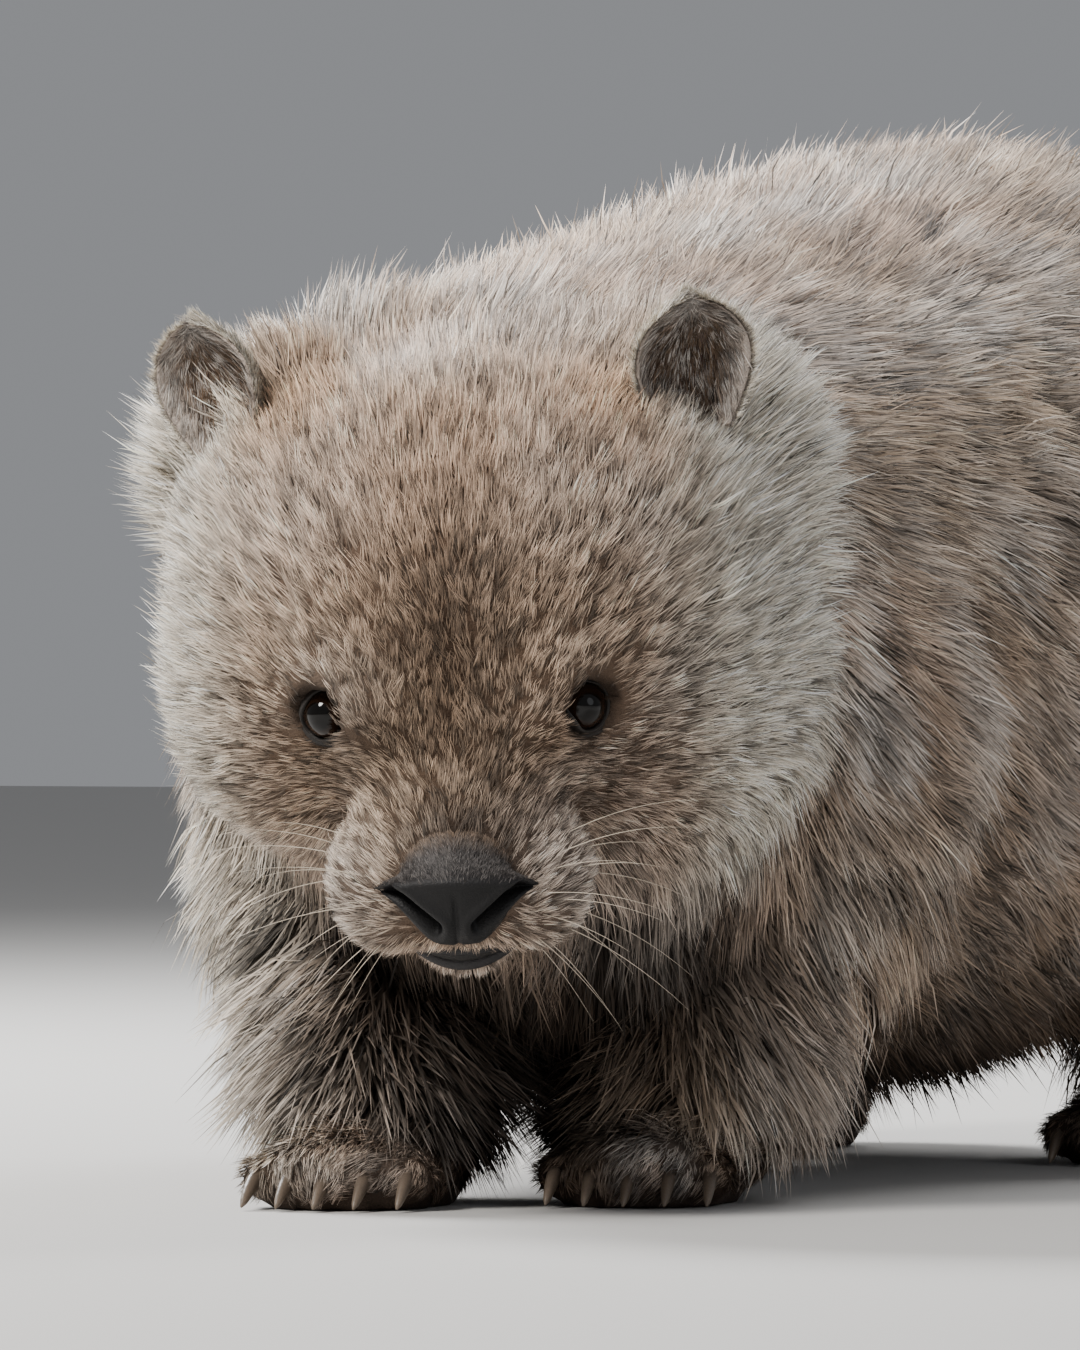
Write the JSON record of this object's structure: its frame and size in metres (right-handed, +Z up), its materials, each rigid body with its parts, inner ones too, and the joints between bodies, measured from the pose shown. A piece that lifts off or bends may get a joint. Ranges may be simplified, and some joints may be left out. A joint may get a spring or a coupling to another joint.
{
  "type": "wombat",
  "caption": "A life-size bare-nosed wombat as a still model, walking with its broad head low and turned a little to its left, in a thick sandy grey coat",
  "frame": {"origin": "middle of the standing animal's box, on the floor under its feet", "axes": "+Z up, the animal faces -Y and its left side is +X"},
  "size_m": [0.3094, 0.7546, 0.3527],
  "materials": {
    "coat": "coarse dense fur, sandy tips over brown-grey, darker underneath",
    "face_coat": "short dense fur, sandy with a darker bridge and pale cheeks",
    "ear_coat": "short soft fur, pale rim and dark inside",
    "foot_coat": "short dark fur on broad feet with bare pads",
    "nose": "bare grained skin, dark and slightly moist",
    "eye": "wet gloss, nearly black",
    "claw": "worn horn, dark with paler tips"
  },
  "bodies": {
    "root": {"head": "face_coat", "jaw": "face_coat", "nose_pad": "nose", "eye_l": "eye", "ear_l": "ear_coat", "eye_r": "eye", "ear_r": "ear_coat", "neck": "coat", "chest": "coat", "belly": "coat", "rump": "coat", "tail": "coat", "foreleg_r": "coat", "forefoot_r": "foot_coat", "foreleg_l": "coat", "forefoot_l": "foot_coat", "hindleg_r": "coat", "hindfoot_r": "foot_coat", "hindleg_l": "coat", "hindfoot_l": "foot_coat"}
  },
  "joints": []
}
